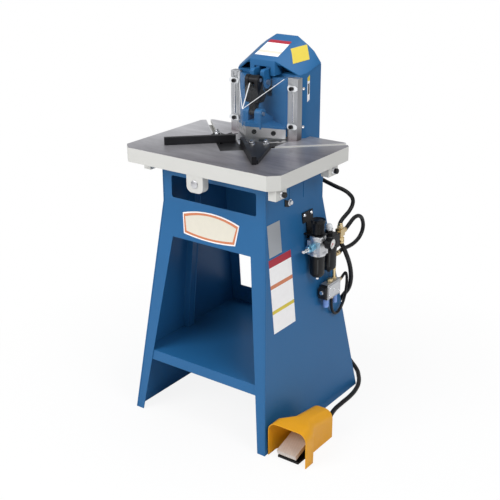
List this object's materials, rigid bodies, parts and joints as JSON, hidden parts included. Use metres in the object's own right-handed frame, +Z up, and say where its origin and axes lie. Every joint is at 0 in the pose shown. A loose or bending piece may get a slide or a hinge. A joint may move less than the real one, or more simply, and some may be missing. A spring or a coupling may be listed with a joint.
{
  "type": "sheet metal notcher",
  "caption": "Foot-operated pneumatic corner notcher: V blades and a guarded ram over a slotted table on a flared sheet-metal stand, with an air unit and a pedal.",
  "frame": {"origin": "middle of the machine's base on the floor, measured without its hoses", "axes": "+Z up, -Y towards the operator, +X to the operator's right, where the air unit and pedal are"},
  "size_m": [0.728, 0.6909, 1.266],
  "materials": {
    "blue_paint": "gloss enamel",
    "cream_paint": "satin enamel",
    "black_casting": "black oxide",
    "tool_steel": "ground",
    "screw_steel": "zinc plated",
    "black_screws": "black oxide",
    "clear_sheet": "clear",
    "tube_alloy": "honed",
    "unit_alloy": "cast",
    "black_plastic": "moulded",
    "brass": "machined",
    "plug_steel": "plated",
    "muffler": "moulded",
    "needle_red": "printed",
    "yellow_paint": "gloss enamel",
    "hose_rubber": "smooth"
  },
  "bodies": {
    "machine": {"stand_side_left": "blue_paint", "stand_side_right": "blue_paint", "stand_front": "blue_paint", "stand_rear": "blue_paint", "stand_shelf": "blue_paint", "stand_top_plate": "blue_paint", "table": "cream_paint", "die_plate": "black_casting", "lower_blade_left": "tool_steel", "lower_blade_right": "tool_steel", "lower_blade_screws": "black_screws", "lug_screws": "screw_steel", "column": "blue_paint", "lever_bracket": "blue_paint", "lever_pivot_pin": "screw_steel", "guide_strip_left": "tool_steel", "guide_strip_right": "tool_steel", "strip_screws": "black_screws", "column_side_screws": "screw_steel", "head_cover": "blue_paint", "guard_left": "clear_sheet", "guard_right": "clear_sheet", "guard_washers": "screw_steel", "cylinder_barrel": "tube_alloy", "cylinder_caps": "black_casting", "tie_rods": "screw_steel", "air_bracket": "black_plastic", "regulator_body": "unit_alloy", "gauge_body": "black_plastic", "filter_bowl": "black_plastic", "lubricator": "black_plastic", "inlet_plug": "plug_steel", "brass_fittings": "brass", "air_valve": "unit_alloy", "mufflers": "muffler", "pedal_base": "black_plastic", "pedal_guard": "yellow_paint", "pedal_pin": "screw_steel", "hose_cylinder": "hose_rubber", "hose_loop": "hose_rubber", "hose_valve": "hose_rubber", "hose_pedal": "hose_rubber"},
    "ram": {"ram": "blue_paint", "upper_blade_left": "tool_steel", "upper_blade_right": "tool_steel", "upper_blade_screws": "black_screws", "link": "black_casting", "link_pins": "screw_steel"},
    "lever": {"lever": "black_casting"},
    "rod": {"piston": "unit_alloy", "piston_rod": "screw_steel", "rod_clevis": "black_casting", "clevis_pin": "screw_steel"},
    "fence_left": {"fence_left": "black_casting", "fence_left_clamps": "screw_steel"},
    "fence_right": {"fence_right": "black_casting", "fence_right_clamps": "screw_steel"},
    "regulator_knob": {"regulator_knob": "black_plastic"},
    "gauge_needle": {"gauge_needle": "needle_red"},
    "treadle": {"pedal_treadle": "tool_steel"}
  },
  "joints": [
    {"name": "ram_slide", "type": "slide", "parent": "machine", "child": "ram", "axis": [0, 0, -1], "range_m": [0, 0.025]},
    {"name": "lever_hinge", "type": "hinge", "parent": "machine", "child": "lever", "pos_m": [-0.061, 0.073, 1.136], "axis": [1, 0, 0], "range_deg": [0, 34.75]},
    {"name": "rod_slide", "type": "slide", "parent": "machine", "child": "rod", "axis": [0, 0, 1], "range_m": [0, 0.0738]},
    {"name": "fence_left_slide", "type": "slide", "parent": "machine", "child": "fence_left", "axis": [-0.7071, 0.7071, 0], "range_m": [-0.013, 0.16]},
    {"name": "fence_right_slide", "type": "slide", "parent": "machine", "child": "fence_right", "axis": [0.7071, 0.7071, 0], "range_m": [-0.007, 0.16]},
    {"name": "knob_turn", "type": "hinge", "parent": "machine", "child": "regulator_knob", "pos_m": [0.196, 0.034, 0.69], "axis": [0, 0, 1], "continuous": true},
    {"name": "needle_turn", "type": "hinge", "parent": "machine", "child": "gauge_needle", "pos_m": [0.2525, 0.034, 0.647], "axis": [-1, 0, 0], "range_deg": [0, 270]},
    {"name": "treadle_hinge", "type": "hinge", "parent": "machine", "child": "treadle", "pos_m": [0.291, -0.17, 0.05], "axis": [1, 0, 0], "range_deg": [0, 4.5], "stiffness_Nm_per_rad": 10, "springref_deg": -6.88}
  ],
  "couplings": [
    {"joint": "lever_hinge", "follows": "ram_slide", "rad_per_m": 24.231},
    {"joint": "rod_slide", "follows": "ram_slide", "ratio": 2.95}
  ]
}
